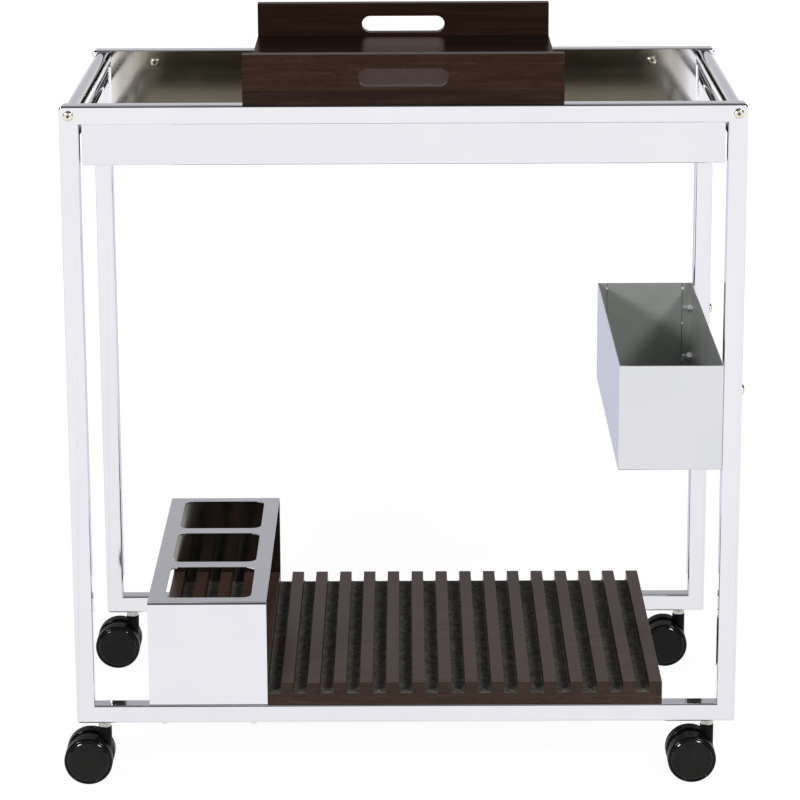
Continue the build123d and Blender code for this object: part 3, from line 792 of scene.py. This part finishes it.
def makeThreadEnd(name, length):
    # rings stand for the thread, from inside the nut to the pointed end
    crest = thread["radius"]
    root = crest - thread["depth"]
    pitch = thread["pitch"]
    outline = [(0, 0), (crest, 0)]
    for ring in range(int((length - thread["tip"]) / pitch)):
        outline += [(crest, (ring + thread["crestStop"]) * pitch), (root, (ring + thread["root"]) * pitch),
                    (crest, (ring + thread["crestStart"]) * pitch)]
    outline += [(crest, length - thread["tip"]), (root - thread["tipInset"], length), (0, length)]
    return spinOutline(name, outline, thread["steps"])


nutModel = makeHexagon("nutModel", nut["acrossFlats"], nut["height"], nut["chamfer"])
easeEdges(nutModel, nut["ease"])
smoothPiece(nutModel)
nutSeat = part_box("bin_nuts")[1].x
boltLow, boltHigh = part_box("bin_bolts")
endModel = makeThreadEnd("endModel", nutSeat - boltLow.x)
smoothPiece(endModel)
levels = {"Upper": boxMiddle("bin_bolts").z, "Lower": boxMiddle("bin_studs").z}
for side, y in (("front", boltLow.y + boltHead["radius"]), ("rear", boltHigh.y - boltHead["radius"])):
    for row, level in levels.items():
        spot = Matrix.Translation((nutSeat, y, level)) @ turnTo["-x"]
        nutPiece = copyPiece(nutModel, f"{side}{row}BinNut", spot)
        fitPiece(nutPiece, nutZinc, "nickel_fastener", "cart_frame", "bin_nuts")
        owner = "bin_bolts" if row == "Upper" else "bin_studs"
        slot = "nickel_fastener" if row == "Upper" else "zinc_steel"
        endPiece = copyPiece(endModel, f"{side}{row}BinThread", spot)
        fitPiece(endPiece, nutZinc, slot, "cart_frame", owner)
    spot = Vector((boltHigh.x - boltHead["height"], y, levels["Upper"]))
    placeHead(boltModel, side + "BinBoltHead", spot, "+x", "bin_bolts")
print("side bin, nuts and bolts made")


# serving tray: base board with two slotted panels standing in shallow rebates
tray = {"edge": 0.9 * mm, "edgeSteps": 3, "rebateGap": 0.3 * mm, "slotLength": 90 * mm,
        "slotHeight": 18 * mm, "slotDrop": 23 * mm, "slotFlat": 0.02 * mm, "slotSteps": 12}


def makeTrayBase():
    low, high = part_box("tray_base")
    frontLow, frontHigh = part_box("tray_front_panel")
    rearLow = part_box("tray_rear_panel")[0]
    base = addBlock("trayBase", low, high)
    gap = tray["rebateGap"]
    for start, stop in ((low.y - past, frontHigh.y + gap), (rearLow.y - gap, high.y + past)):
        toolLow = Vector((low.x - past, start, frontLow.z))
        toolHigh = Vector((high.x + past, stop, high.z + past))
        cutWith(base, addBlock("rebateTool", toolLow, toolHigh))
    easeEdges(base, tray["edge"], tray["edgeSteps"], squareEdge)
    smoothPiece(base)
    fitPiece(base, trayBaseWood, "tray_wood", "serving_tray", "tray_base")


def makeTrayPanel(side):
    node = f"tray_{side}_panel"
    low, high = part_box(node)
    middle = (low + high) / 2
    panel = addBlock(f"tray{side.capitalize()}Panel", low, high)
    half = Vector((tray["slotLength"] / 2, high.y - low.y, tray["slotHeight"] / 2))
    place = Vector((middle.x, middle.y, high.z - tray["slotDrop"]))
    tool = addBlock("slotTool", place - half, place + half)
    openMesh(tool)
    pick(tool, "EDGE", lambda edge: runsAlong(edge, "y"))
    roundPicked((tray["slotHeight"] - tray["slotFlat"]) / 2, tray["slotSteps"])
    closeMesh()
    cutWith(panel, tool)
    easeEdges(panel, tray["edge"], tray["edgeSteps"], squareEdge)
    smoothPiece(panel)
    # the rear panel's darker wood is painted shade
    fitPiece(panel, trayWood if side == "front" else trayRearWood, "tray_wood", "serving_tray", node)


makeTrayBase()
for side in outward:
    makeTrayPanel(side)
print("serving tray made")


# twin-wheel casters: wheel, cap, stem and hood modelled once, then copied to the four corners
caster = {"sides": 96, "wheelRadius": 25 * mm, "wheelWidth": 15.5 * mm,
          "innerRound": 1.5 * mm, "innerSteps": 4, "rimRound": 2.6 * mm, "rimSweep": 72, "rimSteps": 8,
          "lipRound": 0.6 * mm, "lipSteps": 5, "treadFacing": 0.1,
          "capRadius": 22.1 * mm, "capThickness": 2.3 * mm, "capGap": 0.15 * mm, "capSmooth": 20,
          "bevelCrown": 7.2 * mm, "bevelTilts": (38, 25), "bevelSteps": 3, "bevelFacing": (0.3, 0.95),
          "hexFlats": 12.5 * mm, "hexHeight": 6 * mm, "hexChamfer": 1.5 * mm, "hexEase": 0.2 * mm,
          "hoodRadius": 23 * mm, "hoodThickness": 12 * mm, "skirtDrop": 9 * mm, "wheelRoom": 26 * mm,
          "bossRadius": 7 * mm, "bossSides": 48,
          "hoodEdge": 0.8 * mm, "hoodSteps": 3, "hoodCorner": 50, "hoodSmooth": 40}


def makeWheelModel():
    # inner face at height 0, capped face at the wheel's width
    radius, width = caster["wheelRadius"], caster["wheelWidth"]
    rim, inner = caster["rimRound"], caster["innerRound"]
    seat = width - caster["capThickness"]
    lip = caster["lipRound"]
    outline = [(0, 0)]
    outline += arcPoints((radius - inner, inner), inner, -90, 0, caster["innerSteps"])
    outline += arcPoints((radius - rim, width - rim), rim, 0, caster["rimSweep"], caster["rimSteps"])
    top = outline[-1]
    outline += arcPoints((caster["capRadius"] + lip, top[1] - lip), lip, 90, 180, caster["lipSteps"])
    outline += [(caster["capRadius"], seat), (0, seat)]
    wheel = spinOutline("wheelModel", outline, caster["sides"])
    wheel.data.materials.append(tyreNylon)
    upright = lambda face: abs(face.normal.z) < caster["treadFacing"]
    paintFaces(wheel, treadNylon, lambda face: upright(face) and middleOf(face).xy.length > radius - inner)
    smoothPiece(wheel)
    return wheel


def makeCapModel():
    radius = caster["capRadius"] - caster["capGap"]
    seat = caster["wheelWidth"] - caster["capThickness"]
    top = caster["wheelWidth"]
    crown = caster["bevelCrown"]
    steep, flat = caster["bevelTilts"]  # degrees off the axle, at the bevel's outer and inner edge
    heart = (radius - crown * sin(radians(steep)), top - crown * cos(radians(flat)))
    outline = [(0, seat), (radius, seat)]
    outline += arcPoints(heart, crown, 90 - steep, 90 - flat, caster["bevelSteps"])
    outline += [(0, top)]
    cap = spinOutline("capModel", outline, caster["sides"])
    cap.data.materials.append(capNylon)
    least, most = caster["bevelFacing"]
    paintFaces(cap, bevelNylon, lambda face: least < face.normal.z < most)
    smoothPiece(cap, caster["capSmooth"])
    return cap


def makeHoodModel(corner):
    axle = boxMiddle(f"{corner}_caster_axle")
    stem = boxMiddle(f"{corner}_caster_stem")
    bossTop = Vector((stem.x, stem.y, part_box(f"{corner}_caster_hood")[1].z))
    half = Vector((0, caster["hoodThickness"] / 2, 0))
    hood = addRod("hoodModel", axle - half, axle + half, caster["hoodRadius"], caster["sides"])
    openMesh(hood)
    bpy.ops.mesh.bisect(plane_co=(0, 0, axle.z - caster["skirtDrop"]), plane_no=(0, 0, -1),
                        use_fill=True, clear_outer=True)
    closeMesh()
    bossFoot = Vector((stem.x, stem.y, axle.z))
    boss = addRod("bossRod", bossFoot, bossTop, caster["bossRadius"], caster["bossSides"])
    for side in outward.values():
        start = axle + side * half
        stop = start + Vector((0, side * 2 * caster["bossRadius"], 0))
        cutWith(boss, addRod("wheelRoomTool", start, stop, caster["wheelRoom"], caster["sides"]))
    cutWith(hood, boss, "UNION")
    easeEdges(hood, caster["hoodEdge"], caster["hoodSteps"], caster["hoodCorner"])
    smoothPiece(hood, caster["hoodSmooth"])
    return hood


wheelModel = makeWheelModel()
capModel = makeCapModel()
stemModel = makeHexagon("stemModel", caster["hexFlats"], caster["hexHeight"], caster["hexChamfer"])
easeEdges(stemModel, caster["hexEase"])
smoothPiece(stemModel)
hoodModel = makeHoodModel(corners[0])
firstStem = boxMiddle(f"{corners[0]}_caster_stem")
for corner in corners:
    stem = boxMiddle(f"{corner}_caster_stem")
    hoodPiece = copyPiece(hoodModel, f"{corner}CasterHood", Matrix.Translation(stem - firstStem))
    fitPiece(hoodPiece, hoodNylon, "caster_plastic", f"{corner}_caster_swivel", f"{corner}_caster_hood")
    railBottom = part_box(f"{corner.split('_')[0]}_bottom_rail")[0].z
    place = Matrix.Translation((stem.x, stem.y, railBottom - caster["hexHeight"]))
    stemPiece = copyPiece(stemModel, f"{corner}CasterStem", place)
    fitPiece(stemPiece, stemChrome, "stem_chrome", "cart_frame", f"{corner}_caster_stem")
    for wheel, turn in (("front", "-y"), ("rear", "+y")):
        node = f"{corner}_caster_{wheel}"
        low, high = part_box(node + "_wheel")
        middle = (low + high) / 2
        inner = high.y if wheel == "front" else low.y
        place = Matrix.Translation((middle.x, inner, middle.z)) @ turnTo[turn]
        title = f"{corner}Caster{wheel.capitalize()}"
        wheelPiece = copyPiece(wheelModel, title + "Wheel", place)
        fitPiece(wheelPiece, tyreNylon, "caster_plastic", node + "_roller", node + "_wheel")
        capPiece = copyPiece(capModel, title + "Cap", place)
        fitPiece(capPiece, capNylon, "cap_plastic", node + "_roller", node + "_cap")
print("casters made")

for model in (boltModel, screwModel, nutModel, endModel, wheelModel, capModel, stemModel, hoodModel):
    bpy.data.objects.remove(model)

# pieces that stay as they come from the frame, hidden in tubes, hubs and wood
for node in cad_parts.values():
    if not node.hide_render:
        node.data.materials.clear()
        node.data.materials.append(zincPlate)


# stage: white floor that fades into its own glow, dim room, two softboxes, grey card, the photo's camera
studio = {"floorSize": 60.0, "floorTone": "#f2f2f4",
          "glow": 1.07, "nearGlow": 0.9, "nearReach": 0.7, "farReach": 2.2,
          "roomBack": [(0.0, "#ffffff"), (0.06, "#dcdce0"), (0.14, "#ccccd0"), (0.28, "#b8b8bc"),
                       (0.34, "#b2b2b6"), (0.42, "#a8a8ac"), (0.5, "#4c4c48"), (0.65, "#2e2e2a"),
                       (0.93, "#2e2e2a"), (0.96, "#b0b0b2")],
          "roomFront": [(0.0, "#ffffff"), (0.05, "#d8d8d8"), (0.08, "#b4b4b2"), (0.12, "#35362f"),
                        (0.3, "#33332f"), (0.45, "#42423e"), (0.93, "#42423e"), (0.96, "#b0b0b2")],
          "roomTurn": (-0.25, 0.35),
          "cardTone": "#d8daea", "cardLow": (-3.0, 0.5), "cardHigh": (3.0, 4.0), "cardLift": 2 * mm}
softboxes = {"leftSoftbox": {"place": (-2.4, -3.5, 2.0), "size": (0.7, 0.7), "power": 91},
             "rightSoftbox": {"place": (1.9, -3.0, 2.4), "size": (0.7, 0.7), "power": 62}}


def makeFloor():
    clearSelection()
    bpy.ops.mesh.primitive_plane_add(size=studio["floorSize"], location=(0, 0, cadLow.z))
    floor = bpy.context.active_object
    floor.name = "studioFloor"
    material, tree, shader = newMaterial("whitePaperSweep")
    tree.nodes.remove(shader)
    paper = addNode(tree, "ShaderNodeBsdfDiffuse", {"Color": colour(studio["floorTone"])})
    glow = addNode(tree, "ShaderNodeEmission", {"Color": colour("#ffffff"), "Strength": studio["glow"]})
    path = addNode(tree, "ShaderNodeLightPath")
    seen = path.outputs["Is Camera Ray"]
    for ray in ("Is Glossy Ray", "Is Transmission Ray"):
        either = addNode(tree, "ShaderNodeMath", {"operation": "MAXIMUM"}, {0: seen, 1: path.outputs[ray]})
        seen = either.outputs["Value"]
    spot = addNode(tree, "ShaderNodeTexCoord").outputs["Object"]
    away = addNode(tree, "ShaderNodeVectorMath", {"operation": "LENGTH"}, {0: spot})
    reach = {"From Min": studio["nearReach"], "From Max": studio["farReach"], "To Min": studio["nearGlow"]}
    share = addNode(tree, "ShaderNodeMapRange", reach, {"Value": away.outputs["Value"]})
    share = addNode(tree, "ShaderNodeMath", {"operation": "MULTIPLY"}, {0: share.outputs["Result"], 1: seen})
    mix = addNode(tree, "ShaderNodeMixShader", None,
                  {0: share.outputs["Value"], 1: paper.outputs["BSDF"], 2: glow.outputs["Emission"]})
    plug(tree, tree.nodes["Material Output"], {"Surface": mix.outputs["Shader"]})
    floor.data.materials.append(material)


def makeCard():
    # a grey-lavender card on the floor behind the cart, which only the metal's reflections see
    low, high = studio["cardLow"], studio["cardHigh"]
    middle = ((low[0] + high[0]) / 2, (low[1] + high[1]) / 2, cadLow.z + studio["cardLift"])
    card = addSheet("greyCard", middle, (high[0] - low[0], high[1] - low[1]))
    material, tree, shader = newMaterial("greyCardPaper")
    tree.nodes.remove(shader)
    glow = addNode(tree, "ShaderNodeEmission", {"Color": colour(studio["cardTone"]), "Strength": 1.0})
    plug(tree, tree.nodes["Material Output"], {"Surface": glow.outputs["Emission"]})
    card.data.materials.append(material)
    card.visible_camera = False
    card.visible_diffuse = False
    card.visible_shadow = False


def makeRoom():
    world = bpy.data.worlds.new("studioRoom")
    bpy.context.scene.world = world
    world.use_nodes = True
    tree = world.node_tree
    way = addNode(tree, "ShaderNodeTexCoord").outputs["Generated"]
    parts = addNode(tree, "ShaderNodeSeparateXYZ", None, {"Vector": way})
    back = addNode(tree, "ShaderNodeValToRGB", {"stops": studio["roomBack"]}, {"Fac": parts.outputs["Z"]})
    front = addNode(tree, "ShaderNodeValToRGB", {"stops": studio["roomFront"]}, {"Fac": parts.outputs["Z"]})
    start, stop = studio["roomTurn"]
    turn = addNode(tree, "ShaderNodeMapRange", {"From Min": start, "From Max": stop},
                   {"Value": parts.outputs["Y"]})
    room = addNode(tree, "ShaderNodeMix", {"data_type": "RGBA"},
                   {0: turn.outputs["Result"], 6: front.outputs["Color"], 7: back.outputs["Color"]})
    plug(tree, tree.nodes["Background"], {"Color": room.outputs[2]})


def addSoftbox(name, box):
    lamp = bpy.data.lights.new(name, "AREA")
    lamp.shape = "RECTANGLE"
    lamp.size, lamp.size_y = box["size"]
    lamp.energy = box["power"]
    stand = bpy.data.objects.new(name, lamp)
    bpy.context.scene.collection.objects.link(stand)
    stand.location = box["place"]
    aim = Vector((0, 0, cadHigh.z / 2)) - stand.location
    stand.rotation_euler = aim.to_track_quat("-Z", "Y").to_euler()


makeFloor()
makeCard()
makeRoom()
for name, box in softboxes.items():
    addSoftbox(name, box)

view = {"place": (7.2 * mm, -3382.6 * mm, 1248.2 * mm), "yaw": -0.116, "pitch": 14.749, "roll": -0.248,
        "focalPixels": 3277.5, "imagePixels": 800, "sensor": 36.0, "reach": 100}
camera = bpy.data.objects.new("photoCamera", bpy.data.cameras.new("photoCamera"))
bpy.context.scene.collection.objects.link(camera)
camera.location = view["place"]
camera.rotation_mode = "QUATERNION"
aim = Euler((radians(90 - view["pitch"]), 0, radians(-view["yaw"]))).to_quaternion()
camera.rotation_quaternion = aim @ Quaternion((0, 0, 1), radians(view["roll"]))
camera.data.sensor_width = view["sensor"]
camera.data.lens = view["focalPixels"] / view["imagePixels"] * view["sensor"]
camera.data.clip_end = view["reach"]
bpy.context.scene.camera = camera
bpy.context.scene.view_settings.view_transform = "Standard"
print("stage, light and camera set")
